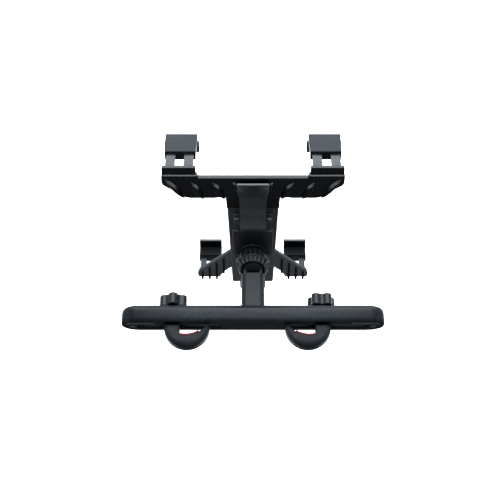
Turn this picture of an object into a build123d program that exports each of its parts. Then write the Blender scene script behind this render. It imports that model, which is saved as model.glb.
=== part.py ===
from build123d import *
import math
import os

# Headrest tablet mount: a cross bar that is hooked on the two posts of a car headrest, with an arm,
# a ball joint and a tablet cradle. Millimetres. +X runs along the bar, +Y from the posts towards the
# cradle, +Z up along the posts. The origin is the centre of the bar's post-side face.

# ---------------------------------------------------------------- driving dimensions
BAR_L = 215.0          # cross bar, along X
BAR_H = 20.0           # cross bar, along Z
BAR_T = 16.0           # cross bar, along Y
BAR_END = 15.0         # length of the bar's half-oval ends
BAR_LEAD = 4.2         # front part of the bar that narrows towards the posts
BAR_LEAD_DEG = 8.0
PLATE_T = 2.6          # front track plate, let into the bar's face
RIM = 2.2              # rim of the bar round the plate
TRACK_Z = -1.2         # height of the track's centre line
TRACK_H = 5.5          # track slot, along Z
TRACK = (26.4, 94.0)   # track slots, from and to, on each side
REAR_SLOT = (18.5, 93.0)   # rear slots, from and to, on each side
REAR_SLOT_H = 7.0
CAVITY_HALF = 97.0
CAVITY_H = 12.0
CAVITY_Y = (PLATE_T, 12.6)

HOOK_X = {"left": -65.5, "right": 56.4}   # bolt position of each hook
HOOK_IN = {"left": 1.0, "right": -1.0}    # direction of the hook's tip
HOOK_Z = (-9.0, 4.6)
HOOK_R_OUT = 18.9
HOOK_R_IN = 21.6       # hollow of the throat, behind the pad
HOOK_REACH = 11.6      # from the bolt to the middle of the outer round
HOOK_THROAT = (10.6, 12.6)  # middle of the hollow's arc, from the bolt and along Y
HOOK_LEG = (-7.6, 5.8)  # leg round the bolt, along X
HOOK_ROUND = 4.6
PAD_T = 1.6
BOLT_R = 2.4

KNOB_Y = (BAR_T + 0.35, BAR_T + 10.35)
KNOB_LOBE_C = 7.7
KNOB_LOBE_R = 3.9
KNOB_TURN = {"left": 90.0, "right": 54.0}

BALL_Y = 56.0          # ball centre, behind the origin
BALL_R = 10.5
NECK_R = 4.5
ARM_W = 19.2
ARM_H = 16.4
ARM_END = BALL_Y - 11.4
ARM_CUP_R = 13.75      # hollow end of the arm, round the ball centre

TILT = -20.0           # cradle tilt at rest, about X

NUT_MOUTH = -7.0
NUT_BASE = 9.4
NUT_R = 13.4
NUT_MOUTH_R = 9.4
NUT_RIBS = 20
NUT_SWEEP = 13.4       # the cone stays inside this sphere, clear of the arm's hollow end
CUP_R = 10.58          # inner radius of the ball cup
CUP_RO = 11.4
SEAT_R = 11.5          # spherical seat in nut and socket
BOSS_R = 12.0

HOUSE_V = (-31.6, 52.0)
HOUSE_HW = (17.7, 21.1)     # half width at bottom and top
HOUSE_W = (12.0, 17.0)      # back and front of the rear housing
FRONT_W = (17.0, 20.0)      # front frame plate
PAD_W = 21.4

STRIP_HW = 11.2
STRIP_W = (14.1, 16.4)
STRIP_V = (-42.0, 66.0)
CHANNEL_HW = 11.6
CHANNEL_W = (13.7, 17.0)

HINGE_V, HINGE_W = 38.0, 8.8
PIN_R = 1.5

TOP_V = (63.4, 83.6)
TOP_HW = 73.0
TOP_W = (10.0, 15.0)
TOP_ROUND = 1.2
LEDGE_V = 86.6
FLANGE_X = (45.5, 72.4)
FLANGE_W = (12.2, 15.4)
FLANGE_V = 92.8
TOP_CLIP_X = 58.6
TOP_RAIL_X = 7.35
TOP_RAIL = 7.6
TOP_RAIL_V = (89.6, 92.6)
TOP_RAIL_END = 42.0

LOW_CLIP_X = 37.2
LOW_RAIL_X = 5.85
LOW_RAIL = 5.2
LOW_RAIL_V = (-25.6, -22.9)
LOW_RAIL_END = 40.0
CLIP_GAP = 0.32

os.makedirs("parts", exist_ok=True)


def save(shape, name):
    export_step(shape, f"parts/{name}.step")


def block(x, y, z):
    """Box from (low, high) pairs."""
    return Pos((x[0] + x[1]) / 2, (y[0] + y[1]) / 2, (z[0] + z[1]) / 2) * Box(
        x[1] - x[0], y[1] - y[0], z[1] - z[0]
    )


def rod_x(r, x0, x1, y, z):
    return Pos((x0 + x1) / 2, y, z) * Rot(0, 90, 0) * Cylinder(r, x1 - x0)


def rod_y(r, x, y0, y1, z):
    return Pos(x, (y0 + y1) / 2, z) * Rot(90, 0, 0) * Cylinder(r, y1 - y0)


def rod(r, p, q):
    """Round rod between two points."""
    p, q = Vector(*p), Vector(*q)
    return extrude(Plane(origin=p, z_dir=(q - p).normalized()) * Circle(r), amount=(q - p).length)


def flip(shape):
    return mirror(shape, about=Plane.YZ)


def prism_y(pts, y0, y1):
    """Polygon in X-Z, extruded along Y."""
    wire = Polyline(*[(p[0], p[1]) for p in pts], close=True)
    face = make_face(wire)
    return extrude(Plane((0, y0, 0), x_dir=(1, 0, 0), z_dir=(0, -1, 0)) * face, amount=-(y1 - y0))


def edges_at(shape, axis, value, tol=0.02):
    i = {"X": 0, "Y": 1, "Z": 2}[axis]
    found = []
    for e in shape.edges():
        b = e.bounding_box()
        lo, hi = (b.min.X, b.min.Y, b.min.Z)[i], (b.max.X, b.max.Y, b.max.Z)[i]
        if abs(lo - value) < tol and abs(hi - value) < tol:
            found.append(e)
    return found


# cradle frame: x as the row, y = distance from the ball towards the passenger, z = up the cradle
CR = Pos(0, BALL_Y, 0) * Rot(TILT, 0, 0)

# ---------------------------------------------------------------- cross bar
def oval(inset, y):
    """Outline of the bar with half-oval ends, drawn in by an inset, at a depth y."""
    a, b, c = BAR_END - inset, BAR_H / 2 - inset, BAR_L / 2 - BAR_END
    right = EllipticalCenterArc((c, 0), a, b, start_angle=-90, arc_size=180)
    left = EllipticalCenterArc((-c, 0), a, b, start_angle=90, arc_size=180)
    face = make_face([Line((-c, -b), (c, -b)).edge(), right.edge(), Line((c, b), (-c, b)).edge(), left.edge()])
    return Plane((0, y, 0), x_dir=(1, 0, 0), z_dir=(0, -1, 0)) * face


bar_outer = extrude(oval(0, BAR_LEAD), amount=-(BAR_T - BAR_LEAD))
bar_outer = fillet(edges_at(bar_outer, "Y", BAR_T), 5.6)
bar_lead = loft([oval(0, BAR_LEAD), oval(BAR_LEAD * math.tan(math.radians(BAR_LEAD_DEG)), 0)], ruled=True)
bar_lead = fillet(edges_at(bar_lead, "Y", 0.0), 1.2)
bar_outer += bar_lead
bar_shell = bar_outer - extrude(oval(RIM, 0), amount=-PLATE_T)
track_plate = extrude(oval(RIM + 0.3, 0.1), amount=-(PLATE_T - 0.1))
track_plate = fillet(edges_at(track_plate, "Y", 0.1), 0.5)

# one slot for each hook, with a shallow land round it
for s in (-1, 1):
    slot_at = Plane.XZ * Pos(s * (TRACK[0] + TRACK[1]) / 2, TRACK_Z)
    track_plate -= extrude(slot_at * SlotOverall(TRACK[1] - TRACK[0], TRACK_H), amount=-PLATE_T)
    track_plate -= extrude(slot_at * SlotOverall(TRACK[1] - TRACK[0] + 2.4, TRACK_H + 2.4), amount=-0.5)
# short rows of teeth near each end, above the track
for s in (-1, 1):
    for i in range(11):
        x = s * (99.0 - 1.75 * i)
        track_plate -= block((x - 0.42, x + 0.42), (-0.5, 0.75), (3.3, 5.8))

cz0, cz1 = TRACK_Z - CAVITY_H / 2, TRACK_Z + CAVITY_H / 2
bar_shell -= block((-CAVITY_HALF, CAVITY_HALF), (PLATE_T - 1, CAVITY_Y[1]), (cz0, cz1))
for s in (-1, 1):
    mid = s * (REAR_SLOT[0] + REAR_SLOT[1]) / 2
    bar_shell -= extrude(
        Plane.XZ * Pos(mid, TRACK_Z) * SlotOverall(REAR_SLOT[1] - REAR_SLOT[0], REAR_SLOT_H),
        amount=-BAR_T - 2,
    )


def screw(head_r, head_t, shank_r, length):
    """Pan-head screw along -Z from its seat at Z = 0; the head is above."""
    s = Pos(0, 0, head_t / 2) * Cylinder(head_r, head_t)
    s = fillet(edges_at(s, "Z", head_t), head_t * 0.45)
    s -= Pos(0, 0, head_t - 0.35) * Box(head_r * 1.15, 0.55, 0.8)
    s -= Pos(0, 0, head_t - 0.35) * Box(0.55, head_r * 1.15, 0.8)
    s += Pos(0, 0, -length / 2) * Cylinder(shank_r, length)
    return s


# a screw near each end holds the track plate to the shell
bar_screws = []
for x in (-98.4, 98.4):
    p = Pos(x, 1.15, TRACK_Z) * Rot(90, 0, 0) * screw(1.9, 1.1, 0.9, 8.0)
    bar_screws.append(p)
for b in bar_screws:
    x = b.center().X
    track_plate -= rod_y(2.05, x, -0.5, 1.15, TRACK_Z)
    track_plate -= b
    bar_shell -= b

# ---------------------------------------------------------------- arm and ball stud
arm_section = RectangleRounded(ARM_W, ARM_H, 5.2)
arm = extrude(Plane((0, 6.0, 0), x_dir=(1, 0, 0), z_dir=(0, 1, 0)) * arm_section, amount=ARM_END - 6.0)
arm -= Pos(0, BALL_Y, 0) * Sphere(ARM_CUP_R)
arm -= bar_outer
arm = max(arm.solids(), key=lambda s: s.volume)

ball_stud = Pos(0, BALL_Y, 0) * Sphere(BALL_R) + rod_y(NECK_R, 0, ARM_END - 12.0, BALL_Y, 0)
arm -= ball_stud

arm_screws = []
for x in (-5.4, 5.4):
    p = Pos(x, CAVITY_Y[1], 0.0) * Rot(90, 0, 0) * screw(2.5, 1.5, 1.3, 13.0)
    arm_screws.append(p)
for b in arm_screws:
    arm -= b
    bar_shell -= b

save(bar_shell, "bar_shell")
save(track_plate, "bar_track_plate")
save(Compound(children=bar_screws), "bar_screws")
save(arm, "arm")
save(ball_stud, "ball_stud")
save(Compound(children=arm_screws), "arm_screws")

# ---------------------------------------------------------------- hooks, bolts, sliders and knobs
# the knob's outline: five lobes joined by tangent hollows
KNOB_DIP_R = 3.0
_c36 = math.cos(math.radians(36.0))
_far = KNOB_LOBE_R + KNOB_DIP_R
KNOB_DIP_C = KNOB_LOBE_C * _c36 + math.sqrt((KNOB_LOBE_C * _c36) ** 2 - KNOB_LOBE_C**2 + _far**2)
_tx = KNOB_LOBE_C + (KNOB_DIP_C * _c36 - KNOB_LOBE_C) * KNOB_LOBE_R / _far
_ty = KNOB_DIP_C * math.sin(math.radians(36.0)) * KNOB_LOBE_R / _far
KNOB_TAN_R = math.hypot(_tx, _ty)
KNOB_TAN_A = math.degrees(math.atan2(_ty, _tx))


def polar(r, deg):
    return (r * math.cos(math.radians(deg)), r * math.sin(math.radians(deg)))


for side in ("left", "right"):
    xs, d = HOOK_X[side], HOOK_IN[side]
    oc = (xs + HOOK_REACH * d, -0.4)
    ic = (xs + HOOK_THROAT[0] * d, HOOK_THROAT[1])
    plan = Pos(*oc) * Circle(HOOK_R_OUT) - Pos(*ic) * Circle(HOOK_R_IN)
    leg = Pos(xs + d * (HOOK_LEG[0] + HOOK_LEG[1]) / 2, -7.0) * Rectangle(HOOK_LEG[1] - HOOK_LEG[0], 13.4)
    plan += leg & Pos(*oc) * Circle(HOOK_R_OUT)
    plan -= Pos(xs, 30 - 0.3) * Rectangle(200, 60)
    plan -= Pos(xs + 27.0 * d, 30 - 0.9) * Rectangle(22, 60)
    hook = extrude(Pos(0, 0, HOOK_Z[0]) * plan, amount=HOOK_Z[1] - HOOK_Z[0])
    hook = max(hook.solids(), key=lambda s: s.volume)
    hook = fillet(edges_at(hook, "Z", HOOK_Z[0]) + edges_at(hook, "Z", HOOK_Z[1]), 1.6)
    # full round on the outside
    hz0, hz1, q = HOOK_Z[0], HOOK_Z[1], HOOK_ROUND
    k = q * (1 - math.sqrt(0.5))
    ro = HOOK_R_OUT + 0.01
    turn = make_face([
        *Polyline((ro, hz1 - q), (ro, hz0 + q)).edges(),
        *ThreePointArc((ro, hz0 + q), (ro - k, hz0 + k), (ro - q, hz0 - 0.01)).edges(),
        *Polyline((ro - q, hz0 - 0.01), (0, hz0 - 0.01), (0, hz1 + 0.01), (ro - q, hz1 + 0.01)).edges(),
        *ThreePointArc((ro - q, hz1 + 0.01), (ro - k, hz1 - k), (ro, hz1 - q)).edges(),
    ])
    turned = revolve(Plane.XZ * turn, axis=Axis.Z, revolution_arc=360)
    hook = hook & (Pos(oc[0], oc[1], 0) * turned)
    hook = max(hook.solids(), key=lambda s: s.volume)
    hook += block((xs - 5.0, xs + 5.0), (-1.0, 2.2), (TRACK_Z - 2.4, TRACK_Z + 2.4))
    bolt = rod_y(BOLT_R, xs, -6.0, KNOB_Y[1] - 0.4, TRACK_Z) + rod_y(4.6, xs, -9.2, -6.0, TRACK_Z)
    hook -= bolt
    save(hook, f"hook_{side}")
    save(bolt, f"hook_bolt_{side}")

    pad = Pos(*ic) * Circle(HOOK_R_IN) - Pos(*ic) * Circle(HOOK_R_IN - PAD_T)
    pad &= Pos(xs + 13.7 * d, -12.0) * Rectangle(15.4, 18.4)
    pad = extrude(Pos(0, 0, HOOK_Z[0] + 2.0) * pad, amount=HOOK_Z[1] - HOOK_Z[0] - 4.2)
    pad -= hook
    pad = max(pad.solids(), key=lambda s: s.volume)
    save(pad, f"hook_pad_{side}")

    slider = block((xs - 8.5, xs + 8.5), (CAVITY_Y[0] + 0.35, CAVITY_Y[1] - 0.35), (cz0 + 0.35, cz1 - 0.35))
    slider = fillet(slider.edges().filter_by(Axis.Y), 1.5)
    slider -= rod_y(BOLT_R + 0.08, xs, -1, 20, TRACK_Z)
    save(slider, f"track_slider_{side}")

    arcs = []
    for i in range(5):
        a0 = KNOB_TURN[side] + 72.0 * i
        arcs.append(ThreePointArc(polar(KNOB_TAN_R, a0 - KNOB_TAN_A), polar(KNOB_LOBE_C + KNOB_LOBE_R, a0),
                                  polar(KNOB_TAN_R, a0 + KNOB_TAN_A)))
        arcs.append(ThreePointArc(polar(KNOB_TAN_R, a0 + KNOB_TAN_A), polar(KNOB_DIP_C - KNOB_DIP_R, a0 + 36.0),
                                  polar(KNOB_TAN_R, a0 + 72.0 - KNOB_TAN_A)))
    star = make_face([a.edges()[0] for a in arcs])
    knob = extrude(Plane((xs, KNOB_Y[0], TRACK_Z), x_dir=(1, 0, 0), z_dir=(0, -1, 0)) * star,
                   amount=-(KNOB_Y[1] - KNOB_Y[0]))
    knob = fillet(edges_at(knob, "Y", KNOB_Y[1]), 1.3)
    knob = fillet(edges_at(knob, "Y", KNOB_Y[0]), 0.7)
    insert = rod_y(4.6, xs, KNOB_Y[0] + 0.6, KNOB_Y[1] - 1.2, TRACK_Z)
    knob -= insert
    knob -= rod_y(BOLT_R + 0.4, xs, KNOB_Y[0] - 1, KNOB_Y[1] + 1, TRACK_Z)
    insert -= rod_y(BOLT_R + 0.06, xs, 0, 40, TRACK_Z)
    save(knob, f"knob_{side}")
    save(insert, f"knob_insert_{side}")

# ---------------------------------------------------------------- ball cup and clamp nut (cradle frame)
origin_ball = Sphere(CUP_RO) - Sphere(CUP_R)
cup = origin_ball & block((-20, 20), (-5.4, 7.2), (-20, 20))
save(CR * cup, "ball_cup")

# profile in (radius, depth), turned about the cradle normal
prof = [
    (8.0, NUT_MOUTH), (10.7, NUT_MOUTH), (12.6, -2.4), (NUT_R, -0.6), (NUT_R, NUT_BASE - 0.9),
    (NUT_R - 0.9, NUT_BASE), (8.0, NUT_BASE),
]
face = make_face(Polyline(*prof, close=True))
nut = revolve(Plane.XY * face, axis=Axis.Y, revolution_arc=360)
# round ribs that run down the side and the cone to the mouth
nut_ribs = []
for i in range(NUT_RIBS):
    a = 360.0 / NUT_RIBS * (i + 0.5)
    top, knee, end = (13.2, NUT_BASE - 1.0, 0), (13.2, -0.7, 0), (9.95, NUT_MOUTH - 0.3, 0)
    rib = rod(1.05, top, knee) + Pos(*knee) * Sphere(1.05) + rod(1.05, knee, end)
    nut_ribs.append(Rot(0, a, 0) * rib)
nut += nut_ribs
nut = nut & block((-20, 20), (NUT_MOUTH, NUT_BASE), (-20, 20))
nut = nut & (Sphere(NUT_SWEEP) + block((-20, 20), (-1.5, NUT_BASE), (-20, 20)))
nut -= Sphere(SEAT_R)
nut -= rod_y(NUT_MOUTH_R, 0, -12, 0, 0)
nut -= rod_y(BOSS_R + 0.1, 0, 2.2, 12, 0)
save(CR * nut, "ball_nut")

# ---------------------------------------------------------------- cradle: rear housing
hw0, hw1 = HOUSE_HW
v0, v1 = HOUSE_V
outline = [(-hw0, v0), (hw0, v0), (hw1, v1), (-hw1, v1)]
housing = prism_y(outline, HOUSE_W[0], HOUSE_W[1])
housing = fillet([e for e in housing.edges().filter_by(Axis.Y) if e.center().Z < 0], 1.5)
housing = fillet([e for e in edges_at(housing, "Y", HOUSE_W[0]) if e.center().Z < v1 - 1], 1.4)
# raised rim round the socket
rim = block((-16.8, 16.8), (10.7, 12.5), (-1.0, 29.0)) - block((-15.3, 15.3), (10.0, 13.0), (-2.0, 27.6))
housing += rim
# channel for the sliding strip
housing -= block((-CHANNEL_HW, CHANNEL_HW), CHANNEL_W, (v0 - 5, v1 + 5))
# ball socket
housing += rod_y(BOSS_R, 0, 2.5, 12.4, 0)
housing -= Sphere(SEAT_R)
# hinge lugs for the lock lever
for s in (-1, 1):
    lug = prism_y([(s * 11.5, 31.0), (s * 15.6, 31.0), (s * 15.6, 45.5), (s * 11.5, 45.5)], 5.2, 12.4)
    lug = fillet([e for e in edges_at(lug, "Y", 5.2) if abs(e.length - 4.1) < 0.2], 3.2)
    housing += lug
window = block((-11.45, 11.45), (11.0, 14.5), (32.6, 43.4))
housing -= window
housing -= rod_x(PIN_R + 0.0, -15.0, 15.0, HINGE_W, HINGE_V)

lever_pin = rod_x(PIN_R, -15.0, 15.0, HINGE_W, HINGE_V)

# ---------------------------------------------------------------- cradle: front frame with wings and lower forks
front = prism_y(outline, FRONT_W[0], FRONT_W[1])
front = fillet([e for e in front.edges().filter_by(Axis.Y) if e.center().Z < 0], 1.5)
for s in (-1, 1):
    pts = [
        (s * 12.0, 3.4), (s * 19.2, 0.8), (s * 42.0, -18.2), (s * 46.4, -21.4), (s * 48.0, -25.0),
        (s * 47.4, -28.0), (s * 46.0, -29.2), (s * 28.6, -29.2), (s * 26.6, -25.6), (s * 24.0, -22.0),
        (s * 19.0, -18.0), (s * 12.0, -14.4),
    ]
    wing = prism_y(pts, 16.2, 19.6)
    wing -= block((-17.2, 17.2), (10, FRONT_W[0]), (-60, 60))
    # clear of the rear housing's side walls
    house_clear = prism_y([(-hw0 - 0.02, v0), (hw0 + 0.02, v0), (hw1 + 0.02, v1), (-hw1 - 0.02, v1)], 10, FRONT_W[0])
    wing -= house_clear
    front += wing
    # stiffening ribs on the wing's back
    for x0, t0, t1 in ((43.6, -21.2, -29.2), (37.4, -16.0, -29.2), (31.2, -11.0, -29.2), (25.0, -6.2, -22.0)):
        side_face = make_face(Polyline((16.4, t0), (14.9, t0 - 2.2), (12.7, t1 + 0.8), (12.7, t1), (16.4, t1), close=True))
        r = extrude(Plane((s * x0, 0, 0), x_dir=(0, 1, 0), z_dir=(1, 0, 0)) * side_face, amount=0.9, both=True)
        front += r
    # lower fork: two prongs carried by the wing's tip
    for t in (-1, 1):
        c = s * (LOW_CLIP_X + t * LOW_RAIL_X)
        front += block((c - LOW_RAIL / 2, c + LOW_RAIL / 2), (18.0, LOW_RAIL_END), LOW_RAIL_V)
front_clear = prism_y([(-hw0, v0), (hw0, v0), (hw1, v1), (-hw1, v1)], HOUSE_W[0], FRONT_W[0])
front -= front_clear
front = max(front.solids(), key=lambda s: s.volume)

cradle_pad = prism_y([(-13.6, -24.0), (13.6, -24.0), (16.4, 44.0), (-16.4, 44.0)], FRONT_W[1], PAD_W)
cradle_pad = fillet(cradle_pad.edges().filter_by(Axis.Y), 4.0)

cradle_screws = []
for x, v in ((-14.2, -27.0), (14.2, -27.0), (-17.2, 47.6), (17.2, 47.6)):
    p = Pos(x, FRONT_W[1] - 1.3, v) * Rot(-90, 0, 0) * screw(2.0, 1.1, 0.95, 5.0)
    cradle_screws.append(p)
    front -= rod_y(2.15, x, FRONT_W[1] - 1.3, FRONT_W[1] + 1, v)
for b in cradle_screws:
    front -= b
    housing -= b

save(CR * housing, "cradle_housing")
save(CR * front, "front_frame")
save(CR * cradle_pad, "cradle_pad")
save(CR * Compound(children=cradle_screws), "cradle_screws")
save(CR * lever_pin, "lever_pin")

# ---------------------------------------------------------------- lock lever
# side profile in (depth, height): hub round the pin, hollowed handle, lip turned out at the top
hub = Pos(HINGE_W, HINGE_V) * Circle(3.9)
side_pts = [
    (3.1, 35.2), (2.9, 37.2), (3.3, 40.5), (4.3, 46.0), (5.4, 52.0), (5.95, 58.0), (5.9, 64.0), (5.3, 70.0),
    (4.1, 75.6), (2.9, 79.8), (2.2, 82.0), (2.5, 82.65), (3.0, 82.9), (4.9, 82.9), (5.4, 82.4), (5.9, 79.0),
    (6.6, 74.5), (7.4, 70.0), (7.75, 66.0), (8.0, 56.0), (8.9, 46.0), (11.2, 41.0), (9.5, 34.3), (4.6, 33.9),
    (3.1, 35.2),
]
spl_back = Spline(*side_pts[:11])
ln = Polyline(*side_pts[10:])
lever_face = make_face([*spl_back.edges(), *ln.edges()]) + hub
pl = Plane((0, 0, 0), x_dir=(0, 1, 0), z_dir=(1, 0, 0))
lever = extrude(pl * lever_face, amount=12.6, both=True)
taper = prism_y(
    [(-10.7, 30.0), (10.7, 30.0), (10.7, 60.0), (11.1, 68.0), (12.4, 76.0), (12.4, 84.0),
     (-12.4, 84.0), (-12.4, 76.0), (-11.1, 68.0), (-10.7, 60.0)], -2, 16,
)
lever = lever & taper
lever = max(lever.solids(), key=lambda s: s.volume)
lever -= rod_x(PIN_R + 0.06, -20, 20, HINGE_W, HINGE_V)
save(CR * lever, "lock_lever")

# ---------------------------------------------------------------- telescoping slider with the top bar
t0, t1 = TOP_V
bar_pts = [
    (-TOP_HW + 1.8, LEDGE_V), (-45.0, LEDGE_V), (-43.6, t1), (43.6, t1), (45.0, LEDGE_V), (TOP_HW - 1.8, LEDGE_V),
    (TOP_HW, LEDGE_V - 1.8), (TOP_HW, 78.6), (TOP_HW - 1.4, 76.2), (54.5, t0 + 0.9), (51.0, t0), (22.0, t0), (21.4, 52.4),
    (-21.4, 52.4), (-22.0, t0), (-51.0, t0), (-54.5, t0 + 0.9), (-TOP_HW + 1.4, 76.2), (-TOP_HW, 78.6), (-TOP_HW, LEDGE_V - 1.8),
]
top_bar = prism_y(bar_pts, TOP_W[0], TOP_W[1])
top_bar = fillet(edges_at(top_bar, "Y", TOP_W[0]), TOP_ROUND)
# the centre block stands back a little, level with the rear housing
top_bar -= block((-30, 30), (0, 11.4), (40, 64.4))
centre = prism_y([(-21.1, 52.4), (21.1, 52.4), (21.6, 66.0), (-21.6, 66.0)], 12.0, 17.0)
top_bar += centre
# sloping ledge at the foot of each upright flange
ledge_w = FLANGE_W[0] - 1.0
ledge = make_face(Polyline((9.0, LEDGE_V - (ledge_w - 9.0) * math.tan(math.radians(28.0))), (ledge_w, LEDGE_V), (ledge_w, 88.0),
                           (9.0, 88.0), close=True))
ledge = extrude(Plane((59.0, 0, 0), x_dir=(0, 1, 0), z_dir=(1, 0, 0)) * ledge, amount=15.0, both=True)
top_bar -= ledge
top_bar -= flip(ledge)
for s in (-1, 1):
    # upright flange with the two prongs of the upper fork
    fl = block((FLANGE_X[0], FLANGE_X[1]), FLANGE_W, (t0 + 12, FLANGE_V))
    fl = fillet([e for e in fl.edges().filter_by(Axis.Y) if e.center().Z > 90], 1.2)
    if s < 0:
        fl = flip(fl)
    top_bar += fl
    for t in (-1, 1):
        c = s * (TOP_CLIP_X + t * TOP_RAIL_X)
        top_bar += block((c - TOP_RAIL / 2, c + TOP_RAIL / 2), (15.0, TOP_RAIL_END), TOP_RAIL_V)
# slanted leaf-shaped grip ribs on the back
LEAVES = ((70.8, 84.6, 54.6, 63.2, 2.9), (49.4, 80.6, 39.6, 62.6, 3.5), (32.6, 80.6, 22.6, 62.6, 3.5),
          (16.4, 80.6, 6.6, 66.0, 3.3))
for s in (-1, 1):
    for xa, va, xb, vb, bulge in LEAVES:
        L = math.hypot(xa - xb, va - vb)
        nx, nv = -(vb - va) / L, (xb - xa) / L
        a, b = (s * xa, va), (s * xb, vb)
        mx, mv = (xa * 0.42 + xb * 0.58), (va * 0.42 + vb * 0.58)
        m1 = (s * (mx + bulge * nx), mv + bulge * nv)
        m2 = (s * (mx - bulge * nx), mv - bulge * nv)
        leaf2d = make_face([ThreePointArc(a, m1, b).edges()[0], ThreePointArc(b, m2, a).edges()[0]])
        pl = Plane((0, TOP_W[0] + 0.4, 0), x_dir=(1, 0, 0), z_dir=(0, -1, 0))
        top_bar += extrude(pl * leaf2d, amount=2.3 if xa < 20 else 2.9, taper=30)

strip = block((-STRIP_HW, STRIP_HW), STRIP_W, STRIP_V)
strip = fillet([e for e in strip.edges().filter_by(Axis.Y) if e.center().Z < 0], 3.0)
# ratchet teeth along the strip's back
for i in range(26):
    v = -36.0 + 2.6 * i
    strip -= block((-7.0, 7.0), (STRIP_W[0] - 0.5, STRIP_W[0] + 0.5), (v, v + 1.2))
top_bar -= block((-STRIP_HW, STRIP_HW), STRIP_W, (40, STRIP_V[1]))
top_bar -= block((-STRIP_HW, STRIP_HW), (16.0, 18.0), (40, STRIP_V[1]))

strip_screws = []
for x in (-7.6, 7.6):
    p = Pos(x, STRIP_W[1], 59.4) * Rot(-90, 0, 0) * screw(1.9, 1.0, 0.9, 3.6)
    strip_screws.append(p)
for b in strip_screws:
    strip -= b
    top_bar -= b

top_cover = prism_y(
    [(-44.0, 80.8), (44.0, 80.8), (44.0, 70.0), (40.0, 66.6), (-40.0, 66.6), (-44.0, 70.0)], TOP_W[1], 17.2
)
top_cover = fillet(edges_at(top_cover, "Y", 17.2), 0.6)
top_pad = prism_y([(-36.0, 77.2), (36.0, 77.2), (36.0, 68.2), (-36.0, 68.2)], 17.2, PAD_W)
top_pad = fillet(top_pad.edges().filter_by(Axis.Y), 3.0)
top_cover -= centre
top_pad -= centre
top_screws = []
for x in (-40.4, 40.4):
    p = Pos(x, 16.2, 74.4) * Rot(-90, 0, 0) * screw(1.8, 1.0, 0.9, 4.6)
    top_screws.append(p)
    top_cover -= rod_y(1.95, x, 16.2, 19, 74.4)
for b in top_screws:
    top_cover -= b
    top_bar -= b
top_bar = max(top_bar.solids(), key=lambda s: s.volume)

save(CR * top_bar, "top_bar")
save(CR * strip, "slider_strip")
save(CR * Compound(children=strip_screws), "strip_screws")
save(CR * top_cover, "top_cover")
save(CR * top_pad, "top_pad")
save(CR * Compound(children=top_screws), "top_cover_screws")

# ---------------------------------------------------------------- clips on the forks
for side, s in (("left", -1), ("right", 1)):
    # upper clip: cap over the prongs, short near wall, long lip in front of the tablet
    capT, capB = 94.7, 88.2
    wedge = Plane((0, 0, 70.0)) * make_face(
        Polyline((-12.5, 31.2), (12.5, 31.2), (13.2, 56.3), (-13.2, 56.3), close=True)
    )
    lip = block((-14.3, 14.3), (52.7, 56.3), (77.6, 87.4))
    near = block((-14, 14), (31.2, 33.2), (86.8, 90.0))
    body = block((-14, 14), (31.2, 56.3), (capB, capT)) + near + block((-14, 14), (52.7, 56.3), (86.0, 90.0))
    body = body & extrude(wedge, amount=40.0)
    body += lip
    body = fillet([e for e in edges_at(body, "Z", capT)], 0.9)
    body = fillet([e for e in edges_at(body, "Z", 77.6)], 1.2)
    for t in (-1, 1):
        c = t * TOP_RAIL_X
        body -= block((c - TOP_RAIL / 2 - CLIP_GAP, c + TOP_RAIL / 2 + CLIP_GAP), (30, 54.3),
                      (TOP_RAIL_V[0] - CLIP_GAP, TOP_RAIL_V[1] + CLIP_GAP))
    pad = block((-11.4, 11.4), (51.5, 52.7), (79.2, 87.0))
    pad = fillet(pad.edges().filter_by(Axis.Y), 2.0)
    place = CR * Pos(s * TOP_CLIP_X, 0, 0)
    save(place * body, f"top_clip_{side}")
    save(place * pad, f"top_clip_pad_{side}")

    # lower clip: shelf over the prongs, lip in front of the tablet
    sT, sB, lT = -21.2, -27.6, -13.2
    low = block((-9.8, 9.8), (34.0, 48.6), (sB, sT))
    low += block((-9.8, 9.8), (45.2, 48.6), (sB, lT))
    low = fillet([e for e in edges_at(low, "Z", lT)], 0.9)
    low = fillet([e for e in edges_at(low, "Z", sB)], 0.9)
    for t in (-1, 1):
        c = t * LOW_RAIL_X
        low -= block((c - LOW_RAIL / 2 - CLIP_GAP, c + LOW_RAIL / 2 + CLIP_GAP), (30, 46.6),
                     (LOW_RAIL_V[0] - CLIP_GAP, LOW_RAIL_V[1] + CLIP_GAP))
    pad = block((-9.0, 9.0), (34.6, 45.2), (sT, sT + 0.9))
    place = CR * Pos(s * LOW_CLIP_X, 0, 0)
    save(place * low, f"lower_clip_{side}")
    save(place * pad, f"lower_clip_pad_{side}")
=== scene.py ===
import math

import bpy
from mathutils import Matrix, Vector


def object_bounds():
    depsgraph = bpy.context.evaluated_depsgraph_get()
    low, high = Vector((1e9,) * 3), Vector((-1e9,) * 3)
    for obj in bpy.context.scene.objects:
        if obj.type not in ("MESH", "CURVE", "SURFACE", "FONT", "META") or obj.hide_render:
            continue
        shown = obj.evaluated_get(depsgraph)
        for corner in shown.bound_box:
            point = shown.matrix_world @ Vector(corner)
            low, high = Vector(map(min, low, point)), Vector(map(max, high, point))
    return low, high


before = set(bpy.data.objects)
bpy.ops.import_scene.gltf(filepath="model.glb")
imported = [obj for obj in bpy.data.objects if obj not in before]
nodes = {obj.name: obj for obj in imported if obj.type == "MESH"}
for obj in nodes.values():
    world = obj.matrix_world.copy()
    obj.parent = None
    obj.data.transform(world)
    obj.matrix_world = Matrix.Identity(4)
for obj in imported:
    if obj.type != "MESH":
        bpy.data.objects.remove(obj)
cad_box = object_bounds()
scene = bpy.context.scene

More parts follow.
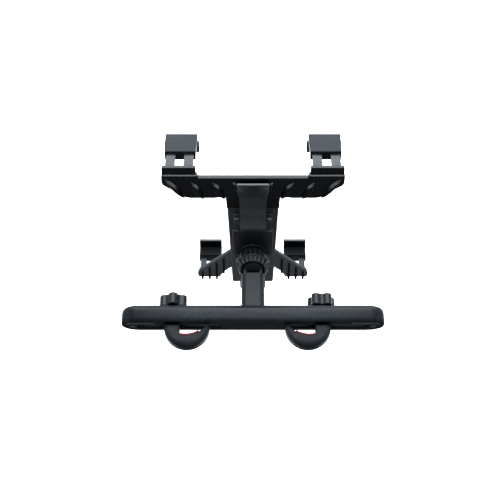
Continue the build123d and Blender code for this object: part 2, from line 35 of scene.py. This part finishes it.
# ---------------------------------------------------------------- camera
ELEV = math.radians(62.0)
DIST = 0.800
TARGET = Vector((-0.0024, 0.0595, 0.020))
LOOK = Vector((0.0, math.cos(ELEV), -math.sin(ELEV)))
cam_data = bpy.data.cameras.new("camera")
cam_data.lens = 969.0 * 36.0 / 500.0
cam_data.sensor_width = 36.0
cam_data.clip_start = 0.01
cam_data.clip_end = 50.0
cam = bpy.data.objects.new("camera", cam_data)
scene.collection.objects.link(cam)
cam.location = TARGET - LOOK * DIST
cam.rotation_euler = LOOK.to_track_quat("-Z", "Y").to_euler()
scene.camera = cam

scene.view_settings.view_transform = "Standard"
scene.view_settings.look = "None"


# ---------------------------------------------------------------- materials
def new_material(name):
    m = bpy.data.materials.new(name)
    m.use_nodes = True
    nt = m.node_tree
    for n in list(nt.nodes):
        nt.nodes.remove(n)
    out = nt.nodes.new("ShaderNodeOutputMaterial")
    bsdf = nt.nodes.new("ShaderNodeBsdfPrincipled")
    nt.links.new(bsdf.outputs["BSDF"], out.inputs["Surface"])
    return m, nt, bsdf


def noise(nt, coord, scale, detail=2.0, rough=0.5):
    n = nt.nodes.new("ShaderNodeTexNoise")
    n.inputs["Scale"].default_value = scale
    n.inputs["Detail"].default_value = detail
    n.inputs["Roughness"].default_value = rough
    nt.links.new(coord, n.inputs["Vector"])
    return n.outputs["Fac"]


def remap(nt, value, a, b, lo, hi):
    n = nt.nodes.new("ShaderNodeMapRange")
    n.inputs["From Min"].default_value = a
    n.inputs["From Max"].default_value = b
    n.inputs["To Min"].default_value = lo
    n.inputs["To Max"].default_value = hi
    nt.links.new(value, n.inputs["Value"])
    return n.outputs["Result"]


def mix_colour(nt, fac, a, b):
    n = nt.nodes.new("ShaderNodeMix")
    n.data_type = "RGBA"
    nt.links.new(fac, n.inputs["Factor"])
    for socket, value in ((n.inputs[6], a), (n.inputs[7], b)):
        if isinstance(value, (tuple, list)):
            socket.default_value = (value[0], value[1], value[2], 1.0)
        else:
            nt.links.new(value, socket)
    return n.outputs[2]


def mix_value(nt, fac, a, b):
    n = nt.nodes.new("ShaderNodeMix")
    n.data_type = "FLOAT"
    nt.links.new(fac, n.inputs["Factor"])
    for socket, value in ((n.inputs[2], a), (n.inputs[3], b)):
        if isinstance(value, (int, float)):
            socket.default_value = value
        else:
            nt.links.new(value, socket)
    return n.outputs[0]


def math_node(nt, op, a, b):
    n = nt.nodes.new("ShaderNodeMath")
    n.operation = op
    for i, value in enumerate((a, b)):
        if isinstance(value, (int, float)):
            n.inputs[i].default_value = value
        else:
            nt.links.new(value, n.inputs[i])
    return n.outputs[0]


def edge_mask(nt, radius, lo, hi):
    """1 along convex and concave edges, 0 on flats, from a rounded normal against the true one."""
    bev = nt.nodes.new("ShaderNodeBevel")
    bev.samples = 6
    bev.inputs["Radius"].default_value = radius
    geo = nt.nodes.new("ShaderNodeNewGeometry")
    dot = nt.nodes.new("ShaderNodeVectorMath")
    dot.operation = "DOT_PRODUCT"
    nt.links.new(bev.outputs["Normal"], dot.inputs[0])
    nt.links.new(geo.outputs["Normal"], dot.inputs[1])
    return remap(nt, dot.outputs["Value"], hi, lo, 0.0, 1.0), bev.outputs["Normal"]


def beyond(nt, coord, direction, lo, hi):
    """0 below lo and 1 above hi, measured along a direction of the piece's own frame."""
    d = nt.nodes.new("ShaderNodeVectorMath")
    d.operation = "DOT_PRODUCT"
    nt.links.new(coord, d.inputs[0])
    d.inputs[1].default_value = direction
    return remap(nt, d.outputs["Value"], lo, hi, 0.0, 1.0)


def facing(nt, direction, lo, hi):
    """1 where the surface of the piece faces a direction of its own frame."""
    d = nt.nodes.new("ShaderNodeVectorMath")
    d.operation = "DOT_PRODUCT"
    nt.links.new(nt.nodes.new("ShaderNodeTexCoord").outputs["Normal"], d.inputs[0])
    d.inputs[1].default_value = direction
    return remap(nt, d.outputs["Value"], lo, hi, 0.0, 1.0)


def away(nt, coord, axis, lo, hi):
    """0 near the middle plane of an axis and 1 away from it on both sides."""
    sep = nt.nodes.new("ShaderNodeSeparateXYZ")
    nt.links.new(coord, sep.inputs[0])
    return remap(nt, math_node(nt, "ABSOLUTE", sep.outputs[axis], 0.0), lo, hi, 0.0, 1.0)


def grooves(nt, coord, count):
    """1 in the hollows between the ribs of the clamp nut, turned about the cradle's normal."""
    up = nt.nodes.new("ShaderNodeVectorMath")
    up.operation = "DOT_PRODUCT"
    nt.links.new(coord, up.inputs[0])
    up.inputs[1].default_value = U_DIR
    sep = nt.nodes.new("ShaderNodeSeparateXYZ")
    nt.links.new(coord, sep.inputs[0])
    angle = math_node(nt, "ARCTAN2", math_node(nt, "SUBTRACT", up.outputs["Value"], BALL_Y * U_DIR[1]), sep.outputs[0])
    wave = math_node(nt, "COSINE", math_node(nt, "MULTIPLY", angle, float(count)), 0.0)
    return remap(nt, wave, 0.0, 0.9, 0.0, 1.0)


def moulded(name, base, light, rough, spec, grain=1800.0, bump=0.22, mottle=45.0, edge=0.0004, edge_col=None,
            speckle=None, front=None, dull=None, bright=None, streaks=None):
    """Moulded plastic or rubber: fine grain, slow mottling of colour and gloss, paler edges that are partly wear and
    partly a painted edge highlight.

    speckle: (scale, amount, colour, direction, lo, hi), pale grains on the part beyond a plane: a granular texture
    whose paleness also stands in for light on the rails and prongs, a painted highlight.
    front: (lo, hi, specular), a lower specular level on the part of the piece before lo along Y, a painted shade.
    dull: (mask function, colour, specular), another colour and specular level under a mask; painted shade where the
    colour is darker.
    bright: (mask function, specular), another specular level under a mask; a painted highlight where it is raised.
    streaks: ((y, factor), ...), specular level that changes along Y, a painted sheen, drawn out in fine streaks along
    X.
    """
    m, nt, bsdf = new_material(name)
    tc = nt.nodes.new("ShaderNodeTexCoord").outputs["Object"]
    slow = noise(nt, tc, mottle, 3.0, 0.55)
    mid = noise(nt, tc, mottle * 7.0, 2.0, 0.5)
    fine = noise(nt, tc, grain, 3.0, 0.6)
    both = math_node(nt, "MULTIPLY", slow, mid)
    col = mix_colour(nt, remap(nt, both, 0.12, 0.40, 0.0, 1.0), base, light)
    # paler edges: partly wear, partly a painted highlight along the edges
    wear_and_edge_highlight, soft_normal = edge_mask(nt, edge, 0.72, 0.985)
    wear_and_edge_highlight = math_node(nt, "MULTIPLY", wear_and_edge_highlight, remap(nt, mid, 0.35, 0.65, 0.35, 1.0))
    pale = edge_col or tuple(min(1.0, 2.2 * c) for c in light)
    col = mix_colour(nt, wear_and_edge_highlight, col, pale)
    if speckle:
        # pale grains: granular texture, and partly a painted highlight
        sp = remap(nt, noise(nt, tc, speckle[0], 2.0, 0.7), 0.44, 0.66, 0.0, speckle[1])
        sp = math_node(nt, "MULTIPLY", sp, beyond(nt, tc, speckle[3], speckle[4], speckle[5]))
        col = mix_colour(nt, sp, col, speckle[2])
    # colour under the dull mask: painted shade where it is darker
    if dull:
        under = dull[0](nt, tc)
        col = mix_colour(nt, under, col, dull[1])
    nt.links.new(col, bsdf.inputs["Base Color"])
    r = remap(nt, math_node(nt, "ADD", slow, fine), 0.6, 1.4, rough - 0.06, rough + 0.08)
    nt.links.new(r, bsdf.inputs["Roughness"])
    bsdf.inputs["Specular IOR Level"].default_value = spec
    bsdf.inputs["IOR"].default_value = 1.5
    gloss = spec
    # painted shade: lower specular level at the front of the piece
    if front:
        gloss = remap(nt, beyond(nt, tc, (0.0, 1.0, 0.0), front[0], front[1]), 0.0, 1.0, front[2], spec)
    # painted sheen: specular level set along Y, with fine streaks along X
    if streaks:
        mp = nt.nodes.new("ShaderNodeMapping")
        mp.inputs["Scale"].default_value = (0.05, 1.0, 1.0)
        nt.links.new(tc, mp.inputs["Vector"])
        fibre = remap(nt, noise(nt, mp.outputs["Vector"], 900.0, 3.0, 0.6), 0.3, 0.7, 0.75 * spec * 2.0, 1.25 * spec * 2.0)
        ramp = nt.nodes.new("ShaderNodeValToRGB")
        depth = streaks[-1][0]
        while len(ramp.color_ramp.elements) < len(streaks):
            ramp.color_ramp.elements.new(0.5)
        for stop, (y, f) in zip(ramp.color_ramp.elements, streaks):
            stop.position = y / depth
            stop.color = (f / 2.0, f / 2.0, f / 2.0, 1.0)
        nt.links.new(beyond(nt, tc, (0.0, 1.0, 0.0), 0.0, depth), ramp.inputs["Fac"])
        gloss = math_node(nt, "MULTIPLY", fibre, ramp.outputs["Color"])
    if dull:
        gloss = mix_value(nt, under, gloss, dull[2])
    # specular level under the bright mask: a painted highlight where it is raised
    if bright:
        gloss = mix_value(nt, bright[0](nt, tc), gloss, bright[1])
    if gloss is not spec:
        nt.links.new(gloss, bsdf.inputs["Specular IOR Level"])
    b = nt.nodes.new("ShaderNodeBump")
    b.inputs["Strength"].default_value = bump
    b.inputs["Distance"].default_value = 0.00012
    nt.links.new(fine, b.inputs["Height"])
    nt.links.new(soft_normal, b.inputs["Normal"])
    nt.links.new(b.outputs["Normal"], bsdf.inputs["Normal"])
    return m


def metal(name, base, light, rough, streak_axis):
    """Turned or plated metal with fine circular streaks."""
    m, nt, bsdf = new_material(name)
    tc = nt.nodes.new("ShaderNodeTexCoord").outputs["Object"]
    mp = nt.nodes.new("ShaderNodeMapping")
    scale = [1.0, 1.0, 1.0]
    scale[streak_axis] = 14.0
    mp.inputs["Scale"].default_value = scale
    nt.links.new(tc, mp.inputs["Vector"])
    streak = noise(nt, mp.outputs["Vector"], 260.0, 3.0, 0.6)
    slow = noise(nt, tc, 180.0, 2.0, 0.5)
    wear_and_edge_highlight, soft_normal = edge_mask(nt, 0.0002, 0.75, 0.98)
    col = mix_colour(nt, remap(nt, slow, 0.3, 0.7, 0.0, 1.0), base, light)
    # paler edges: partly wear, partly a painted highlight along the edges
    col = mix_colour(nt, math_node(nt, "MULTIPLY", wear_and_edge_highlight, 0.6), col, tuple(min(1.0, c * 1.35) for c in light))
    nt.links.new(col, bsdf.inputs["Base Color"])
    bsdf.inputs["Metallic"].default_value = 1.0
    nt.links.new(remap(nt, streak, 0.3, 0.7, rough - 0.07, rough + 0.1), bsdf.inputs["Roughness"])
    b = nt.nodes.new("ShaderNodeBump")
    b.inputs["Strength"].default_value = 0.15
    b.inputs["Distance"].default_value = 0.00006
    nt.links.new(streak, b.inputs["Height"])
    nt.links.new(soft_normal, b.inputs["Normal"])
    nt.links.new(b.outputs["Normal"], bsdf.inputs["Normal"])
    return m


BLACK = (0.0046, 0.0056, 0.0068)
BLACK_L = (0.0080, 0.0096, 0.0115)
DEEP = (0.0016, 0.0019, 0.0024)
DEEP_L = (0.0032, 0.0038, 0.0046)
U_DIR = (0.0, 0.34202, 0.93969)   # up the cradle
N_DIR = (0.0, 0.93969, -0.34202)  # from the cradle towards the tablet
BACK = (0.0, -0.93969, 0.34202)   # the other way
BALL_Y = 0.056                    # ball centre
W0 = BALL_Y * N_DIR[1]            # depth of the ball centre along N_DIR


# painted sheen across the bar: low specular at the front, then rising over the crowned top to the rear rounding
BAR_SHEEN = ((0.0, 0.05), (0.0008, 0.02), (0.0014, 0.01), (0.0020, 0.13), (0.0028, 0.32), (0.00365, 0.58), (0.0045, 0.80),
             (0.0064, 0.97), (0.0082, 1.26), (0.0095, 1.45), (0.0108, 2.00), (0.0116, 1.60), (0.0124, 0.50), (0.0160, 0.35))


def bar_end_shade(nt, tc):
    """Painted shade: darker and less glossy towards both ends of the bar, more on the left; less on the rear rounding
    and on the end caps.
    """
    left = math_node(nt, "MULTIPLY", beyond(nt, tc, (-1.0, 0.0, 0.0), 0.045, 0.096), 0.58)
    right = math_node(nt, "MULTIPLY", beyond(nt, tc, (1.0, 0.0, 0.0), 0.045, 0.090), 0.32)
    ends = math_node(nt, "MAXIMUM", left, right)
    rear = remap(nt, beyond(nt, tc, (0.0, 1.0, 0.0), 0.0092, 0.0106), 0.0, 1.0, 1.0, 0.35)
    caps = remap(nt, away(nt, tc, 0, 0.0985, 0.1030), 0.0, 1.0, 1.0, 0.30)
    return math_node(nt, "MULTIPLY", math_node(nt, "MULTIPLY", ends, rear), caps)


def slot_floor_highlight(nt, tc):
    """Lower walls of the track's slots, given a painted highlight by a raised specular level."""
    return math_node(nt, "MULTIPLY", facing(nt, (0.0, 0.0, 1.0), 0.70, 0.95), beyond(nt, tc, (0.0, 0.0, -1.0), 0.0, 0.001))


def nut_hollow_shade(nt, tc):
    """Painted shade in the hollows between the ribs, and at the root next to the housing."""
    root = beyond(nt, tc, N_DIR, W0 + 0.0035, W0 + 0.0075)
    return math_node(nt, "MAXIMUM", root, math_node(nt, "MULTIPLY", grooves(nt, tc, 20), 0.8))


# painted shade: darker crests of the ribs on the wings
def wing_rib_shade(nt, tc):
    return beyond(nt, tc, BACK, -W0 - 0.0160, -W0 - 0.0152)


def ledge_and_leaf_tip_highlight(nt, tc):
    """Painted highlight on the upward faces of the leaf ribs and of the ledges below the flanges, and a little on the
    other upward faces.
    """
    leaf = beyond(nt, tc, BACK, -W0 - 0.0101, -W0 - 0.0096)
    ledge = math_node(nt, "MULTIPLY", beyond(nt, tc, BACK, -W0 - 0.0124, -W0 - 0.0122), away(nt, tc, 0, 0.0445, 0.0455))
    tips = math_node(nt, "MULTIPLY", math_node(nt, "MAXIMUM", leaf, ledge), facing(nt, U_DIR, 0.38, 0.72))
    return math_node(nt, "MAXIMUM", tips, math_node(nt, "MULTIPLY", facing(nt, U_DIR, 0.80, 0.95), 0.12))


def lower_prongs(nt, tc):
    return beyond(nt, tc, N_DIR, W0 + 0.0200, W0 + 0.0206)


def lip_edge_highlight(nt, tc):
    """Upper edge of a lower clip's lip, given a painted highlight by a raised specular level."""
    return math_node(nt, "MULTIPLY", beyond(nt, tc, U_DIR, BALL_Y * U_DIR[1] - 0.0150, BALL_Y * U_DIR[1] - 0.0142),
                     facing(nt, U_DIR, 0.3, 0.7))


# painted highlight: raised specular level on the lever's lower end
def lever_foot_highlight(nt, tc):
    down = (0.0, -U_DIR[1], -U_DIR[2])
    return beyond(nt, tc, down, -BALL_Y * U_DIR[1] - 0.056, -BALL_Y * U_DIR[1] - 0.042)


def tooth_lands(nt, tc):
    """Lands between the short teeth at both ends of the track plate."""
    row = math_node(nt, "MULTIPLY", away(nt, tc, 0, 0.0800, 0.0806), beyond(nt, tc, (0.0, 0.0, 1.0), 0.0032, 0.0034))
    row = math_node(nt, "MULTIPLY", row, beyond(nt, tc, (0.0, 0.0, -1.0), -0.0060, -0.0058))
    return math_node(nt, "MULTIPLY", row, beyond(nt, tc, (0.0, -1.0, 0.0), -0.0004, -0.0002))


M = {
    # bar: painted sheen along Y (BAR_SHEEN) and painted shade towards both ends
    "bar": moulded("black_satin_bar", BLACK, BLACK_L, 0.32, 0.078, grain=2200.0, streaks=BAR_SHEEN,
                   dull=(bar_end_shade, (0.0022, 0.0027, 0.0033), 0.0)),
    "plate": moulded("black_satin_plate", (0.0010, 0.0013, 0.0017), (0.0020, 0.0025, 0.0031), 0.46, 0.004, grain=2200.0,
                     edge_col=(0.014, 0.015, 0.016), dull=(tooth_lands, (0.036, 0.038, 0.041), 0.02),
                     bright=(slot_floor_highlight, 0.20)),
    "arm": moulded("black_satin_arm", BLACK, BLACK_L, 0.36, 0.112, grain=2000.0),
    # column: pale edge_col is a painted highlight along the housing's edges
    "column": moulded("black_satin_column", BLACK, BLACK_L, 0.34, 0.16, grain=2000.0, edge=0.0008,
                      edge_col=(0.085, 0.090, 0.097)),
    "frame": moulded("black_satin_frame", (0.0135, 0.0148, 0.0162), (0.0195, 0.0214, 0.0233), 0.38, 0.17, grain=2000.0,
                     edge=0.00025, edge_col=(0.020, 0.022, 0.024), dull=(wing_rib_shade, (0.0022, 0.0026, 0.0031), 0.03),
                     bright=(lower_prongs, 0.035),
                     # pale speckle on the prongs: grain, and partly a painted highlight
                     speckle=(1500.0, 0.45, (0.030, 0.032, 0.034), N_DIR, 0.0726, 0.0732)),
    "topbar": moulded("black_satin_top_bar", (0.0009, 0.0011, 0.0014), (0.0018, 0.0021, 0.0026), 0.27, 0.045, grain=2000.0, edge=0.0006,
                      bright=(ledge_and_leaf_tip_highlight, 0.30),
                      # pale speckle on the rails: grain, and partly a painted highlight
                      speckle=(1500.0, 0.55, (0.040, 0.042, 0.044), N_DIR, 0.0683, 0.0690)),
    # lever: pale edge_col is a painted highlight along the lever's edges
    "lever": moulded("black_gloss_lever", BLACK, BLACK_L, 0.28, 0.13, grain=1500.0, bump=0.12, edge=0.0005,
                     edge_col=(0.060, 0.064, 0.069), bright=(lever_foot_highlight, 0.27)),
    "clip": moulded("black_gloss_clip", (0.0042, 0.0052, 0.0066), (0.0072, 0.0086, 0.0106), 0.32, 0.028, grain=1500.0,
                    bump=0.12),
    "low_clip": moulded("black_gloss_lower_clip", DEEP, DEEP_L, 0.32, 0.08, grain=1500.0, bump=0.12, edge=0.0008,
                        bright=(lip_edge_highlight, 0.26)),
    # hook: front lowers the specular level on the hook's forward part, a painted shade
    "hook": moulded("black_grained_hook", (0.0068, 0.0076, 0.0086), (0.0110, 0.0121, 0.0135), 0.34, 0.050, grain=1500.0, bump=0.3,
                    front=(-0.0185, -0.0115, 0.002), edge_col=(0.012, 0.013, 0.014)),
    "knob": moulded("black_knob", BLACK, BLACK_L, 0.30, 0.18, grain=1700.0),
    "nut": moulded("black_nut", BLACK, BLACK_L, 0.26, 0.17, grain=1700.0,
                   dull=(nut_hollow_shade, (0.0009, 0.0011, 0.0014), 0.012)),
    "ball": moulded("black_ball", DEEP, DEEP_L, 0.30, 0.12, grain=1200.0, bump=0.08),
    "inner": moulded("black_acetal", BLACK, BLACK_L, 0.44, 0.12, grain=1500.0),
    "rubber": moulded("black_rubber", (0.0026, 0.0028, 0.0032), (0.0046, 0.0050, 0.0056), 0.70, 0.04, grain=1300.0,
                      bump=0.4),
    "red": moulded("red_silicone", (0.085, 0.0035, 0.0075), (0.13, 0.0055, 0.0115), 0.50, 0.10, grain=1200.0, bump=0.25,
                   edge_col=(0.17, 0.014, 0.022)),
    "dark_steel": metal("blackened_steel", (0.030, 0.030, 0.032), (0.055, 0.055, 0.058), 0.38, 0),
    "black_steel": moulded("blackened_screw", DEEP, DEEP_L, 0.48, 0.07, grain=1200.0, bump=0.1),
    "steel": metal("plated_steel", (0.42, 0.42, 0.43), (0.60, 0.60, 0.61), 0.30, 0),
    "brass": metal("turned_brass", (0.52, 0.38, 0.16), (0.70, 0.55, 0.28), 0.28, 1),
}
USE = {
    "bar": ["bar_shell"], "plate": ["bar_track_plate"], "arm": ["arm"],
    "column": ["cradle_housing", "slider_strip"], "frame": ["front_frame"],
    "topbar": ["top_bar", "top_cover"], "lever": ["lock_lever"],
    "clip": ["top_clip_left", "top_clip_right"], "low_clip": ["lower_clip_left", "lower_clip_right"],
    "hook": ["hook_left", "hook_right"], "knob": ["knob_left", "knob_right"],
    "nut": ["ball_nut"], "ball": ["ball_stud"], "inner": ["ball_cup", "track_slider_left", "track_slider_right"],
    "rubber": ["cradle_pad", "top_pad", "top_clip_pad_left", "top_clip_pad_right", "lower_clip_pad_left",
               "lower_clip_pad_right"],
    "red": ["hook_pad_left", "hook_pad_right"],
    "black_steel": ["bar_screws"],
    "dark_steel": ["cradle_screws", "strip_screws", "top_cover_screws",
                   "lever_pin"],
    "steel": ["arm_screws", "hook_bolt_left", "hook_bolt_right"],
    "brass": ["knob_insert_left", "knob_insert_right"],
}
for key, names in USE.items():
    for n in names:
        mats = nodes[n].data.materials
        if len(mats) == 0:
            mats.append(M[key])
        for i in range(len(mats)):
            mats[i] = M[key]

# ---------------------------------------------------------------- floor and light
low = cad_box[0]
floor_mesh = bpy.data.meshes.new("floor")
S, FZ = 6.0, -0.60
floor_mesh.from_pydata([(-S, -S, FZ), (S, -S, FZ), (S, S, FZ), (-S, S, FZ)], [], [(0, 1, 2, 3)])
floor = bpy.data.objects.new("floor", floor_mesh)
scene.collection.objects.link(floor)
fm, fnt, fb = new_material("floor_white")
ftc = fnt.nodes.new("ShaderNodeTexCoord").outputs["Object"]
fcol = mix_colour(fnt, noise(fnt, ftc, 3.0), (0.90, 0.90, 0.90), (0.93, 0.93, 0.93))
fnt.links.new(fcol, fb.inputs["Base Color"])
fb.inputs["Roughness"].default_value = 0.9
fb.inputs["Specular IOR Level"].default_value = 0.1
fb.inputs["Emission Color"].default_value = (1.0, 1.0, 1.0, 1.0)
fb.inputs["Emission Strength"].default_value = 0.25
floor_mesh.materials.append(fm)


def softbox(name, loc, aim, size, size_y, power):
    d = bpy.data.lights.new(name, "AREA")
    d.shape = "RECTANGLE"
    d.size, d.size_y = size, size_y
    d.energy = power
    d.color = (0.87, 0.94, 1.0)
    o = bpy.data.objects.new(name, d)
    scene.collection.objects.link(o)
    o.location = loc
    o.rotation_euler = (Vector(aim) - Vector(loc)).to_track_quat("-Z", "Y").to_euler()
    o.visible_camera = False
    return o


AIM = (0.0, 0.06, 0.0)
softbox("overhead", (0.0, 0.52, 1.08), AIM, 1.5, 1.05, 36.0)
softbox("zenith", (0.0, 0.10, 1.25), AIM, 1.2, 0.32, 14.0)
softbox("near_fill", (0.0, -1.40, -0.10), AIM, 1.2, 0.26, 1.8)
softbox("far_wall", (0.0, 1.35, 0.42), AIM, 1.8, 0.7, 60.0)
softbox("left_side", (-1.2, 0.1, 0.6), AIM, 0.6, 0.6, 8.0)
softbox("right_side", (1.2, 0.1, 0.6), AIM, 0.6, 0.6, 8.0)

world = bpy.data.worlds.new("studio")
world.use_nodes = True
bg = world.node_tree.nodes.get("Background")
bg.inputs["Color"].default_value = (0.93, 0.95, 1.0, 1.0)
bg.inputs["Strength"].default_value = 0.35
scene.world = world
